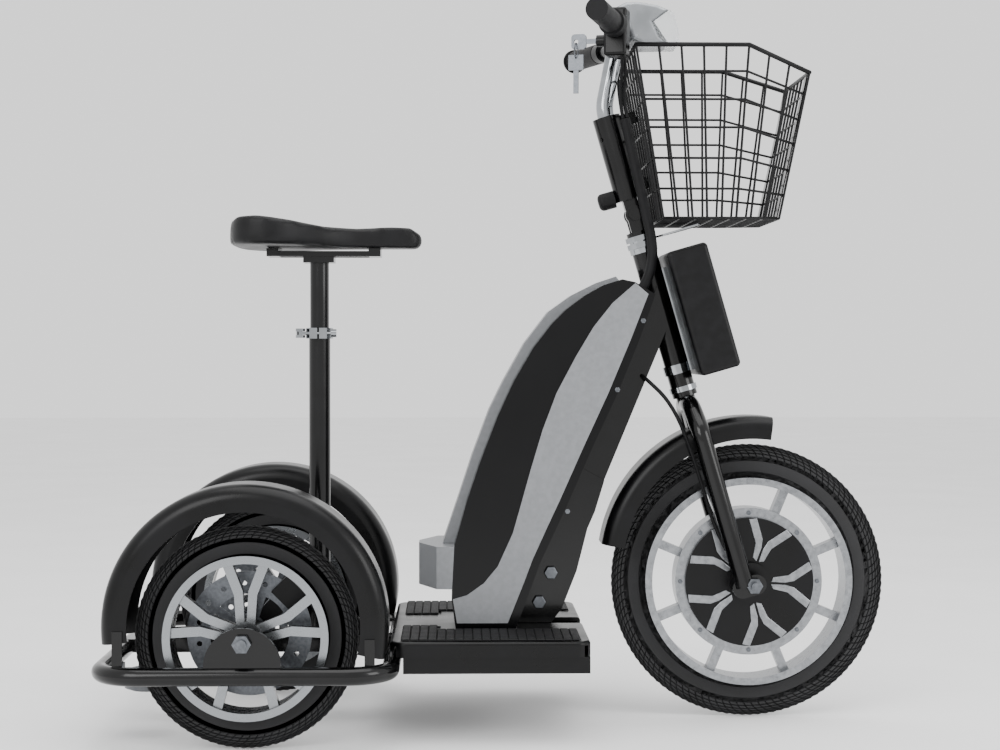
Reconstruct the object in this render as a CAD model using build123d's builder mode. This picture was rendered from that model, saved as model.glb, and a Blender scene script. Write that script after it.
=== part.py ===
"""Three-wheeled electric mobility scooter, ridden seated or standing.

Millimetres, +X forward, +Y to the rider's left, +Z up. The origin is on the ground, midway along
the scooter's length and on its centreline. Moving pieces are modelled where they rest.
"""
import os
from math import cos, radians, sin

from build123d import *

os.makedirs("parts", exist_ok=True)

# ---------------------------------------------------------------- driving sizes
wheelbase = 733.0
rear_overhang = 215.0  # rear axle to the back of the bumper hoop
front_tyre_r, front_tyre_w = 208.0, 58.0
rear_tyre_r, rear_tyre_w = 157.5, 56.0
rear_track = 444.0
hoop_half_width = 286.0  # centreline to the hoop's tube centre
hoop_tube_r = 12.7
rake = 16.0  # steering axis from the vertical
fork_offset = 13.0  # front axle ahead of the steering axis
fork_drop = 302.2  # front axle below the lower headset cup, along the axis
head_length = 210.0
deck_top = 147.0
deck_half_width = 216.0
deck_back_x, deck_front_x = -160.0, 116.0
lean = 22.5  # down tube and battery cover from the vertical
cover_half, cover_foot_half = 90.0, 100.0
seat_axis_x = -277.0
seat_tube_top = 590.0
post_r = 14.3
handlebar_half_width = 250.0

# ---------------------------------------------------------------- clearances
run_fit = 0.08  # radial, a shaft in its hole
gap = 0.3  # between pieces that pass each other
seam = 0.6  # between cover panels

# ---------------------------------------------------------------- derived places
half_length = (rear_overhang + wheelbase + front_tyre_r) / 2
front_axle_x = half_length - front_tyre_r
rear_axle_x = rear_overhang - half_length
wheel_y = rear_track / 2
sin_rake, cos_rake = sin(radians(rake)), cos(radians(rake))
head_x = front_axle_x - fork_offset * cos_rake - fork_drop * sin_rake
head_z = front_tyre_r - fork_offset * sin_rake + fork_drop * cos_rake
# Local x is forward of the steering axis, local y is to the left, local z runs up the axis.
steer = Plane(origin=(head_x, 0, head_z), x_dir=(cos_rake, 0, sin_rake), z_dir=(-sin_rake, 0, cos_rake))

LOW = (Align.CENTER, Align.CENTER, Align.MIN)


def on_steer(forward, side, up):
    """A point given from the steering axis, in the scooter's frame."""
    return steer.from_local_coords((forward, side, up))


def across(x, z, y=0.0):
    """A plane across the scooter: local x is forward, local y is up, the normal points right."""
    return Plane(origin=(x, y, z), x_dir=(1, 0, 0), z_dir=(0, -1, 0))


def write(piece, name):
    piece.part.label = name
    export_step(piece.part, f"parts/{name}.step")


def tube_along(points, radii, tube_r):
    """A round rod swept along straight runs joined by tangent arcs, made outside any block."""
    path = FilletPolyline(*points, radius=radii, mode=Mode.PRIVATE)
    end = Plane(origin=path @ 0, z_dir=path % 0)
    with BuildPart() as rod:
        with BuildSketch(end):
            Circle(tube_r)
        sweep(path=path)
    return rod.part


# ================================================================ steering head
cup_height, cup_r = 8.0, 21.0
head_r = 18.5
steerer_r = 14.3
steerer_bore = 11.0
head_bore = steerer_r + 2.0
head_low = cup_height
head_high = head_low + head_length

with BuildPart(steer.offset(head_low)) as head_tube:
    Cylinder(head_r, head_length, align=LOW)
    Cylinder(head_bore, head_length, align=LOW, mode=Mode.SUBTRACT)
write(head_tube, "head_tube")

with BuildPart(steer, steer.offset(head_high)) as headset_cups:
    Cylinder(cup_r, cup_height, align=LOW)
    Cylinder(steerer_r + run_fit, cup_height, align=LOW, mode=Mode.SUBTRACT)
write(headset_cups, "headset_cups")

# ================================================================ fork, on the steering body
leg_r = 14.0
leg_y = 72.0
crown_up = -20.0
leg_top = -62.0
steerer_top = head_high + cup_height + 26.0
dropout_thick = 6.0
axle_r = 6.0
race_gap = gap
shoulder_y = 38.0
leg_bend_r = 36.0

leg_points = [
    on_steer(0, -leg_y, -fork_drop + 2),
    on_steer(0, -leg_y, leg_top),
    on_steer(0, -shoulder_y, crown_up),
    on_steer(0, shoulder_y, crown_up),
    on_steer(0, leg_y, leg_top),
    on_steer(0, leg_y, -fork_drop + 2),
]
fork_legs = tube_along(leg_points, [leg_bend_r] * 4, leg_r)
with BuildPart() as fork:
    add(fork_legs)
    with Locations(steer.offset(crown_up)):
        Cylinder(steerer_r, steerer_top - crown_up, align=LOW)
    with Locations(steer.offset(crown_up + leg_r - 2)):
        Cylinder(cup_r - 2, -crown_up - leg_r + 2 - race_gap, align=LOW)
    with Locations(steer):
        Cylinder(steerer_bore, steerer_top, align=LOW, mode=Mode.SUBTRACT)
    for side in (-1, 1):
        with BuildSketch(Plane(steer.from_local_coords((0, side * leg_y, 0)), steer.x_dir, (0, -1, 0))):
            with Locations((fork_offset / 2, -fork_drop)):
                SlotCenterToCenter(fork_offset + 8, 30)
        extrude(amount=dropout_thick / 2, both=True)
    with BuildSketch(across(front_axle_x, front_tyre_r)):
        Circle(axle_r + run_fit)
    extrude(amount=leg_y + leg_r + 10, both=True, mode=Mode.SUBTRACT)
write(fork, "fork")

# The two headset nuts with the basket stay's ring trapped between them.
nut_low = head_high + cup_height + gap
nut_height = 8.0
stay_thick = 2.4
nut_bore = steerer_r + 0.05
with BuildPart(steer.offset(nut_low), steer.offset(nut_low + nut_height + stay_thick)) as headset_nuts:
    with BuildSketch(steer.offset(nut_low), steer.offset(nut_low + nut_height + stay_thick)):
        RegularPolygon(19.5, 6, major_radius=False)
        Circle(nut_bore, mode=Mode.SUBTRACT)
    extrude(amount=nut_height)
write(headset_nuts, "headset_nuts")

stay_reach = 86.0
stay_spread = 40.0
with BuildPart() as basket_stay:
    with BuildSketch(steer.offset(nut_low + nut_height)):
        Circle(18.0)
        for side in (-1, 1):
            with BuildLine():
                l1 = Line((12, side * 8), (stay_reach, side * stay_spread))
            trace(l1, line_width=7.0)
        Circle(nut_bore, mode=Mode.SUBTRACT)
    extrude(amount=stay_thick)
write(basket_stay, "basket_stay")

# Fold hinge: a clevis on the steerer with its pivot bolt.
clevis_low = nut_low + 2 * nut_height + stay_thick + 0.2
pivot_up = clevis_low + 32.0
ear_in, ear_out = 9.3, 16.5
ear_r = 14.0
pivot_r = 5.0
with BuildPart() as fold_hinge:
    with BuildSketch(steer.offset(clevis_low)):
        Circle(cup_r - 2)
    extrude(amount=6)
    for side in (-1, 1):
        ear_plane = Plane(on_steer(0, side * (ear_in + ear_out) / 2, clevis_low), steer.x_dir, (0, -1, 0))
        with BuildSketch(ear_plane):
            with Locations((0, (pivot_up - clevis_low) / 2)):
                Rectangle(2 * ear_r - 4, pivot_up - clevis_low)
            with Locations((0, pivot_up - clevis_low)):
                Circle(ear_r)
        extrude(amount=(ear_out - ear_in) / 2, both=True)
    with BuildSketch(Plane(on_steer(0, 0, pivot_up), steer.x_dir, (0, -1, 0))):
        Circle(pivot_r)
    extrude(amount=ear_out + 7, both=True)
    with BuildSketch(
        Plane(on_steer(0, -ear_out, pivot_up), steer.x_dir, (0, -1, 0)),
        Plane(on_steer(0, ear_out, pivot_up), steer.x_dir, (0, 1, 0)),
    ):
        RegularPolygon(9.0, 6, major_radius=False)
    extrude(amount=6)
    with BuildSketch(steer.offset(clevis_low)):
        Circle(nut_bore)
    extrude(amount=steerer_top - clevis_low, mode=Mode.SUBTRACT)
write(fold_hinge, "fold_hinge")

# ================================================================ stem, folds on the hinge bolt
stem_r = 21.0
stem_low = pivot_up + 24.0
stem_high = 430.0
quill_r = 12.7
collar_height = 32.0
stem_wall = 3.0
tongue_half = ear_in - gap
basket_back_low, basket_back_high = (27.0, 254.5), (54.0, 508.0)  # forward, up


def basket_back(up):
    """How far forward of the steering axis the basket's back face is at this height."""
    (f0, u0), (f1, u1) = basket_back_low, basket_back_high
    return f0 + (f1 - f0) * (up - u0) / (u1 - u0)


bracket_ups = (stem_low + 18.0, stem_high - 12.0)
latch_up = stem_low + 7.0
latch_shaft_r = 4.0
with BuildPart(steer.offset(stem_low)) as stem_tube:
    Cylinder(stem_r, stem_high - stem_low, align=LOW)
    with Locations((0, 0, 10)):
        Cylinder(stem_r - stem_wall, stem_high - stem_low - collar_height - 10, align=LOW, mode=Mode.SUBTRACT)
    Cylinder(quill_r + run_fit, stem_high - stem_low, align=LOW, mode=Mode.SUBTRACT)
    with BuildSketch(Plane(on_steer(0, 0, pivot_up), steer.x_dir, (0, -1, 0))):
        with Locations((0, (stem_low + 4 - pivot_up) / 2)):
            Rectangle(2 * ear_r - 6, stem_low + 4 - pivot_up)
        Circle(ear_r - 1)
        Circle(pivot_r + run_fit, mode=Mode.SUBTRACT)
    extrude(amount=tongue_half, both=True)
    with BuildSketch(steer.offset(stem_low)):
        Circle(stem_r)
    extrude(amount=9)
    for up in bracket_ups:
        reach = basket_back(up) - 1.2
        with BuildSketch(steer.offset(up - 9)):
            with Locations(((reach + stem_r - 4) / 2, 0)):
                Rectangle(reach - stem_r + 4, 18)
        extrude(amount=18)
    # Pinch slot of the collar, ending in a round hole.
    with BuildSketch(Plane(on_steer(-stem_r, 0, stem_high), (0, -1, 0), (-cos_rake, 0, -sin_rake))):
        with Locations((12, -collar_height / 2)):
            Rectangle(3, collar_height)
        with Locations((12, -collar_height)):
            Circle(3.2)
    extrude(amount=-12, both=True, mode=Mode.SUBTRACT)
    with BuildSketch(Plane(on_steer(-stem_r, 0, latch_up), (0, 1, 0), (-cos_rake, 0, -sin_rake))):
        Circle(latch_shaft_r + run_fit)
    extrude(amount=-9, both=True, mode=Mode.SUBTRACT)
write(stem_tube, "stem_tube")

# Spring latch: a thick pull knob at the back of the stem's foot.
knob_r, knob_length = 13.0, 25.0
with BuildPart() as latch_knob:
    with BuildSketch(Plane(on_steer(-stem_r - 0.6, 0, latch_up), (0, 1, 0), (-cos_rake, 0, -sin_rake))):
        Circle(knob_r)
    extrude(amount=knob_length)
    fillet(latch_knob.edges().filter_by(GeomType.CIRCLE).sort_by(Axis.X)[0], 7)
    with BuildSketch(Plane(on_steer(-stem_r - 0.6, 0, latch_up), (0, 1, 0), (-cos_rake, 0, -sin_rake))):
        Circle(latch_shaft_r)
    extrude(amount=-8)
write(latch_knob, "latch_knob")

# ================================================================ basket, an open tub
basket_floor_z, basket_rim_z = 748.0, 1000.0
basket_back_floor_x, basket_front_floor_x = 230.0, 404.0
basket_back_rim_x, basket_front_rim_x = 186.0, 454.0
basket_bend_x, basket_front_z = 347.0, 962.0
basket_wall = 3.0
basket_floor_half, basket_floor_front_half = 110.0, 95.0
basket_rim_half, basket_rim_front_half = 140.0, 110.0
basket_rim_rise = 2.0


def basket_outline(z, inset):
    """The basket's plan at a height, between its floor and its rim, inset by a wall."""
    t = (z - basket_floor_z) / (basket_rim_z - basket_floor_z)
    back = basket_back_floor_x + t * (basket_back_rim_x - basket_back_floor_x) + inset
    front = basket_front_floor_x + t * (basket_front_rim_x - basket_front_floor_x) - inset
    half_back = basket_floor_half + t * (basket_rim_half - basket_floor_half) - inset
    half_front = basket_floor_front_half + t * (basket_rim_front_half - basket_floor_front_half) - inset
    shoulder = back + 0.62 * (front - back)
    return [
        (back, -half_back), (shoulder, -half_back), (front, -half_front),
        (front, half_front), (shoulder, half_back), (back, half_back),
    ]


def basket_block(low, high, inset):
    """The tub's outside or inside, a closed block."""
    with BuildPart() as block:
        for z in (low, high):
            with BuildSketch(Plane.XY.offset(z)):
                Polygon(*basket_outline(z, inset), align=None)
        loft(ruled=True)
    return block.part


basket_outer = basket_block(basket_floor_z, basket_rim_z, 0)
basket_inner = basket_block(basket_floor_z + basket_wall, basket_rim_z + 1, basket_wall)
with BuildPart() as basket:
    add(basket_outer)
    add(basket_inner, mode=Mode.SUBTRACT)
    # The rim dips towards the front.
    with BuildSketch(Plane.XZ):
        Polygon(
            (basket_bend_x, basket_rim_z), (basket_front_rim_x + 5, basket_front_z - 3),
            (basket_front_rim_x + 5, basket_rim_z + 5), (basket_bend_x, basket_rim_z + 5), align=None,
        )
    extrude(amount=2 * basket_rim_half, both=True, mode=Mode.SUBTRACT)
write(basket, "basket")

# ================================================================ handlebar group, slides in the stem
bar_r = 11.1
bar_x, bar_z = 172.0, 1024.0
bar_knee_y = 90.0
bar_end_x, bar_end_z = 123.0, 1029.0
bar_bend_r = 80.0
grip_cap = 3.0
clamp_r, clamp_length = 17.0, 42.0

right_end = Vector(bar_end_x, -handlebar_half_width, bar_end_z)
right_knee = Vector(bar_x, -bar_knee_y, bar_z)
inward = (right_knee - right_end).normalized()
# Local z runs inwards along the right grip, local x is up and local y is forward.
grip = Plane(origin=right_end, x_dir=(Vector(0, 0, 1) - inward * inward.Z), z_dir=inward)
bar_start = right_end + inward * (grip_cap + gap)
bar_points = [
    bar_start, right_knee, Vector(bar_x, bar_knee_y, bar_z), Vector(bar_start.X, -bar_start.Y, bar_start.Z),
]
bar_rod = tube_along(bar_points, [bar_bend_r] * 2, bar_r)
with BuildPart() as handlebar_tube:
    add(bar_rod)
write(handlebar_tube, "handlebar_tube")

quill_low = stem_high - 88.0
neck_up = stem_high + 14.0
bar_centre = Vector(bar_x, 0, bar_z)
neck_points = [on_steer(0, 0, quill_low), on_steer(0, 0, neck_up), bar_centre]
neck_rod = tube_along(neck_points, [60.0], quill_r)
with BuildPart() as gooseneck:
    add(neck_rod)
    with Locations(across(bar_x, bar_z)):
        Cylinder(clamp_r, clamp_length)
        Cylinder(bar_r + 0.05, clamp_length + 20, mode=Mode.SUBTRACT)
write(gooseneck, "gooseneck")

grip_length, grip_r = 115.0, 16.0
barrel_r, barrel_length = 19.0, 22.0
with BuildPart(grip) as throttle_grip:
    Cylinder(grip_r, grip_length, align=LOW)
    with Locations((0, 0, grip_length - barrel_length)):
        Cylinder(barrel_r, barrel_length, align=LOW)
    with Locations((0, 0, grip_cap)):
        Cylinder(bar_r + run_fit, grip_length, align=LOW, mode=Mode.SUBTRACT)
write(throttle_grip, "throttle_grip")

with BuildPart(grip, mode=Mode.PRIVATE) as grip_right_copy:
    Cylinder(grip_r, grip_length, align=LOW)
    Cylinder(grip_r + 3, 4, align=LOW)
    with Locations((0, 0, grip_cap)):
        Cylinder(bar_r + 0.05, grip_length, align=LOW, mode=Mode.SUBTRACT)
with BuildPart() as left_grip:
    add(mirror(grip_right_copy.part, about=Plane.XZ))
write(left_grip, "left_grip")

# Throttle housing: a tall block with the battery gauge face, the key lock and the horn button.
housing_low, housing_thick = grip_length + 1.0, 30.0
housing_up, housing_down, housing_depth = 26.0, 44.0, 34.0
lock_x, lock_r, lock_reach = -20.0, 8.5, 12.0
button_x, button_r = 14.0, 5.0
housing_mid = housing_low + housing_thick / 2
with BuildPart(grip.offset(housing_low)) as throttle_housing:
    with Locations(((housing_up - housing_down) / 2, 0, 0)):
        Box(housing_up + housing_down, housing_depth, housing_thick, align=LOW)
    fillet(throttle_housing.edges(), 5)
    with Locations((lock_x, -housing_depth / 2, housing_thick / 2)):
        Cylinder(lock_r, 2 * lock_reach, rotation=(90, 0, 0))
    Cylinder(bar_r + 0.05, housing_thick, align=LOW, mode=Mode.SUBTRACT)
    with Locations((button_x, -housing_depth / 2, housing_thick / 2)):
        Cylinder(button_r + gap, 10, rotation=(90, 0, 0), mode=Mode.SUBTRACT)
    with Locations((lock_x, -housing_depth / 2 - lock_reach, housing_thick / 2)):
        Cylinder(4.6, 16, rotation=(90, 0, 0), mode=Mode.SUBTRACT)
write(throttle_housing, "throttle_housing")

with BuildPart(grip.offset(housing_mid)) as horn_button:
    with Locations((button_x, -housing_depth / 2, 0)):
        Cylinder(button_r, 5, rotation=(90, 0, 0))
write(horn_button, "horn_button")

# Key in its lock: barrel, blade and head. The spare key hangs from the head on a split ring.
key_y = -housing_depth / 2 - lock_reach
head_size, head_thick = 22.0, 4.0
hole_back = 7.0
with BuildPart(grip.offset(housing_mid)) as ignition_key:
    with Locations((lock_x, key_y + 3, 0)):
        Cylinder(4.3, 10, rotation=(90, 0, 0))
    with Locations((lock_x, key_y - 9, 0)):
        Box(7, 18, 2.4)
    with Locations((lock_x, key_y - 16 - head_size / 2, 0)):
        Box(head_size, head_size, head_thick)
    fillet(ignition_key.edges().filter_by(lambda e: abs(e.length - head_thick) < 0.01), 5)
    with Locations((lock_x, key_y - 16 - head_size + hole_back, 0)):
        Cylinder(3.4, 10, mode=Mode.SUBTRACT)
write(ignition_key, "ignition_key")

ring_r, ring_wire = 11.0, 1.0
spare_length = 52.0
ring_centre = (lock_x - ring_r - 2.1, key_y - 16 - head_size + hole_back, 0)
with BuildPart(grip.offset(housing_mid)) as spare_key:
    with Locations(ring_centre):
        Torus(ring_r, ring_wire, rotation=(90, 0, 0))
    with Locations((ring_centre[0] - ring_r - head_size / 2 + 5, ring_centre[1], 0)):
        Box(head_size, head_size, head_thick)
    with Locations((ring_centre[0] - ring_r - head_size + 3 - (spare_length - head_size) / 2, ring_centre[1], 0)):
        Box(spare_length - head_size + 4, 7.5, 2.4)
write(spare_key, "spare_key")

# Brake lever and its perch, made on the right-hand grip's plane and mirrored to the left.
perch_low, perch_length = grip_length + 2.0, 20.0
pivot_forward, pivot_in = 27.0, perch_low + 7.0
lever_half = 3.0
cheek = 4.0
with BuildPart(grip, mode=Mode.PRIVATE) as perch_copy:
    with Locations((0, 0, perch_low)):
        Cylinder(bar_r + 4.5, perch_length, align=LOW)
    with Locations((0, pivot_forward / 2 + 4, perch_low + perch_length / 2)):
        Box(2 * (lever_half + gap + cheek), pivot_forward + 6, perch_length - 4)
    with Locations((0, pivot_forward + 2, perch_low + perch_length / 2)):
        Box(2 * (lever_half + gap), 24, perch_length + 2, mode=Mode.SUBTRACT)
    with Locations((0, 0, perch_low - 1)):
        Cylinder(bar_r + 0.05, perch_length + 2, align=LOW, mode=Mode.SUBTRACT)
    with Locations((0, pivot_forward, pivot_in)):
        Cylinder(2.5, 2 * (lever_half + gap + cheek), rotation=(0, 90, 0))
with BuildPart() as brake_perch:
    add(mirror(perch_copy.part, about=Plane.XZ))
write(brake_perch, "brake_perch")

lever_plane = Plane(origin=grip.origin, x_dir=grip.y_dir, z_dir=grip.x_dir)
with BuildPart(mode=Mode.PRIVATE) as lever_copy:
    with BuildSketch(lever_plane):
        with BuildLine():
            blade = FilletPolyline(
                (pivot_forward, pivot_in), (52, pivot_in - 22), (66, 60), (68, 12), radius=12,
            )
        trace(blade, line_width=9.0)
        with Locations((pivot_forward, pivot_in)):
            Circle(7)
            Circle(2.5 + run_fit, mode=Mode.SUBTRACT)
        with Locations((68, 12)):
            Circle(7.5)
    extrude(amount=lever_half, both=True)
with BuildPart() as brake_lever:
    add(mirror(lever_copy.part, about=Plane.XZ))
write(brake_lever, "brake_lever")

# Headlight: body with its bracket on the bar clamp, and the clear lens.
light_half = 46.0
with BuildPart() as headlight_body:
    with BuildSketch(Plane.XZ):
        Polygon(
            (168, 1068), (182, 1075), (200, 1076), (228, 1071), (246, 1064), (222, 1046),
            (232, 1024), (244, 1014), (208, 1013), (191, 1019), (184, 1043), (172, 1050), align=None,
        )
    extrude(amount=light_half, both=True)
    fillet(headlight_body.edges().filter_by(GeomType.LINE).filter_by(lambda e: abs(e.tangent_at(0).Y) < 0.1), 6)
    with Locations((192, 0, 1030)):
        Box(16, 24, 22)
    with BuildSketch(across(bar_x, bar_z)):
        Circle(clamp_r + 0.05)
    extrude(amount=30, both=True, mode=Mode.SUBTRACT)
write(headlight_body, "headlight_body")

with BuildPart() as headlight_lens:
    with BuildSketch(Plane.XZ):
        Polygon((223.5, 1046.5), (247.5, 1064.5), (254, 1058), (261, 1030), (262, 1014.5), (245, 1014.5), align=None)
    extrude(amount=light_half - 3, both=True)
write(headlight_lens, "headlight_lens")

# ================================================================ frame
hoop_z = 111.8
hoop_back_x = hoop_tube_r - half_length
hoop_front_x = deck_back_x - 3.0
hoop_corner_r = 60.0
hoop_low, hoop_high = hoop_z - hoop_tube_r, hoop_z + hoop_tube_r

with BuildPart() as bumper_hoop:
    with BuildLine(Plane.XY.offset(hoop_z)) as hoop_line:
        FilletPolyline(
            (hoop_back_x, hoop_half_width), (hoop_front_x, hoop_half_width),
            (hoop_front_x, -hoop_half_width), (hoop_back_x, -hoop_half_width),
            radius=hoop_corner_r, close=True,
        )
    with BuildSketch(Plane(origin=hoop_line.line @ 0, z_dir=hoop_line.line % 0)):
        Circle(hoop_tube_r)
    sweep()
write(bumper_hoop, "bumper_hoop")

spine_half = 28.0
spine_low, spine_high = 104.6, 124.4
with BuildPart() as spine:
    with BuildSketch(Plane.XY.offset(spine_low)):
        with Locations(((hoop_back_x + deck_front_x - 10) / 2, 0)):
            Rectangle(deck_front_x - 10 - hoop_back_x, 2 * spine_half)
    extrude(amount=spine_high - spine_low)
    add(bumper_hoop.part, mode=Mode.SUBTRACT)
    with BuildSketch(Plane.XY.offset(spine_low)):
        with Locations((hoop_back_x - 10, 0)):
            Rectangle(20, 2 * spine_half + 2)
    extrude(amount=spine_high - spine_low, mode=Mode.SUBTRACT)
write(spine, "spine")

# Down tube: a box section behind the head tube, with a pair of curved foot plates.
tube_depth, tube_half = 38.0, 24.0
tube_front = (228.0, 546.0)  # a point on its front edge
sin_lean, cos_lean = sin(radians(lean)), cos(radians(lean))


def on_tube(back, up):
    """X and Z of a point behind the down tube's front edge and up along it."""
    x0, z0 = tube_front
    return (x0 - back * cos_lean + up * sin_lean, z0 + back * sin_lean + up * cos_lean)


foot_half = 31.0
foot_thick = 6.0
foot_profile = [
    on_tube(tube_depth + 6, -195), on_tube(0, -200), (137, 314), (126, 289), (110, 226),
    (88, 170), (72, 148), (20, 148), (30, 190),
]
with BuildPart() as down_tube:
    with BuildSketch(Plane.XZ):
        Polygon(on_tube(0, 105), on_tube(0, -385), on_tube(tube_depth, -400), on_tube(tube_depth, 105), align=None)
    extrude(amount=tube_half, both=True)
    with BuildSketch(Plane.XZ.offset(tube_half), Plane.XZ.offset(-tube_half - foot_thick)):
        Polygon(*foot_profile, align=None)
    extrude(amount=foot_thick)
    with BuildSketch(steer.offset(head_low)):
        Circle(head_r)
    extrude(amount=head_length, mode=Mode.SUBTRACT)
    with BuildSketch(Plane.XY.offset(deck_top + gap)):
        Rectangle(600, 200)
    extrude(amount=-200, mode=Mode.SUBTRACT)
    with BuildSketch(steer):
        with Locations((62, 0)):
            Rectangle(120, 100)
    extrude(amount=300, mode=Mode.SUBTRACT)
    # Heads of the two bolts through each foot plate.
    with BuildSketch(Plane.XZ.offset(tube_half + foot_thick), Plane.XZ.offset(-tube_half - foot_thick - 7)):
        with Locations((70.6, 223.0), (53.0, 179.0)):
            RegularPolygon(8.5, 6, major_radius=False)
    extrude(amount=7)
write(down_tube, "down_tube")

plate_thick = 6.0
plate_half = 47.0
rear_axle_r = 7.0
fender_x, fender_z, fender_r = rear_axle_x, 175.0, 198.0
fender_half, fender_skirt, fender_wall = 50.0, 38.0, 2.5
strap_y = wheel_y + fender_half
with BuildPart() as axle_plates:
    for side in (-1, 1):
        with BuildSketch(Plane.XZ.offset(side * hoop_half_width)):
            with Locations((rear_axle_x, hoop_high + 1)):
                Rectangle(2 * plate_half, 24, align=(Align.CENTER, Align.MAX))
                Circle(plate_half + 6)
            with Locations((rear_axle_x, hoop_low - 20)):
                Rectangle(200, 2 * (20 + hoop_tube_r), mode=Mode.SUBTRACT)
            with Locations((rear_axle_x, rear_tyre_r)):
                Circle(rear_axle_r, mode=Mode.SUBTRACT)
        extrude(amount=plate_thick / 2, both=True)
    # Fender straps down to the hoop.
    for x, top in ((hoop_back_x + 30, 172.0), (hoop_front_x - 27, 160.0)):
        with Locations(*[(x, side * (strap_y + 1.5), (hoop_z + top) / 2) for side in (-1, 1)]):
            Box(14, 3, top - hoop_z)
    add(bumper_hoop.part, mode=Mode.SUBTRACT)
write(axle_plates, "axle_plates")

with BuildPart(across(rear_axle_x, rear_tyre_r)) as rear_axle:
    Cylinder(rear_axle_r, 2 * (hoop_half_width + plate_thick / 2 + 14))
    for side in (-1, 1):
        with BuildSketch(across(rear_axle_x, rear_tyre_r, side * (hoop_half_width + plate_thick / 2 + 5))):
            RegularPolygon(11.5, 6, major_radius=False)
            Circle(rear_axle_r, mode=Mode.SUBTRACT)
        extrude(amount=5, both=True)
write(rear_axle, "rear_axle")

with BuildPart() as horn:
    with Locations((hoop_back_x + 48, -110, 80)):
        Cylinder(35, 24)
        Cylinder(27, 30)
    with Locations((hoop_back_x + 14, -110, 93)):
        Box(24, 16, 4)
    with Locations((hoop_back_x + 3, -110, 97.5)):
        Box(18, 16, 11)
    add(bumper_hoop.part, mode=Mode.SUBTRACT)
write(horn, "horn")

# ================================================================ rear fenders and brakes
fender_front_deg, fender_back_deg = -13.0, 186.6


def fender_shell(centre, radius, half, skirt, wall, first, last, shoulder):
    """A rounded channel turned about an axle line between two angles, made outside any block."""
    a = radians(first)
    start = Plane(origin=centre, x_dir=(cos(a), 0, sin(a)), z_dir=(-sin(a), 0, cos(a)))
    with BuildPart() as shell:
        for grow, mode in ((0.0, Mode.ADD), (-wall, Mode.SUBTRACT)):
            low = radius - skirt + (grow * 2)
            with BuildSketch(start):
                with BuildLine():
                    FilletPolyline(
                        (low, -half - grow), (radius + grow, -half - grow),
                        (radius + grow, half + grow), (low, half + grow),
                        radius=shoulder + grow,
                    )
                    Line((low, half + grow), (low, -half - grow))
                make_face()
            revolve(axis=Axis(centre, (0, -1, 0)), revolution_arc=last - first, mode=mode)
    return shell.part


rear_shells = [
    fender_shell(
        (fender_x, side * wheel_y, fender_z), fender_r, fender_half, fender_skirt, fender_wall,
        fender_front_deg, fender_back_deg, 22.0,
    )
    for side in (-1, 1)
]
with BuildPart() as rear_fenders:
    add(rear_shells)
write(rear_fenders, "rear_fenders")

disc_y, disc_thick, disc_r = 190.0, 3.0, 88.0
pad_gap = 0.4
arm_thick = 5.0
caliper_reach = 76.0
with BuildPart() as brake_calipers:
    for side in (-1, 1):
        with Locations(Plane(origin=(rear_axle_x, side * disc_y, rear_tyre_r), x_dir=(0.7071, 0, 0.7071), z_dir=(0, -side, 0))):
            with Locations((caliper_reach + 4, 0, 6)):
                Box(32, 40, 34)
            with Locations((0, 0, 0)):
                Cylinder(disc_r + 2, disc_thick + 2 * pad_gap, mode=Mode.SUBTRACT)
            with Locations(((caliper_reach - 4) / 2, 0, 14)):
                Box(caliper_reach + 8, 26, arm_thick)
            with Locations((0, 0, 14)):
                Cylinder(20, arm_thick)
            with Locations((0, 0, 14)):
                Cylinder(rear_axle_r, 2 * arm_thick, mode=Mode.SUBTRACT)
write(brake_calipers, "brake_calipers")

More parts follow.
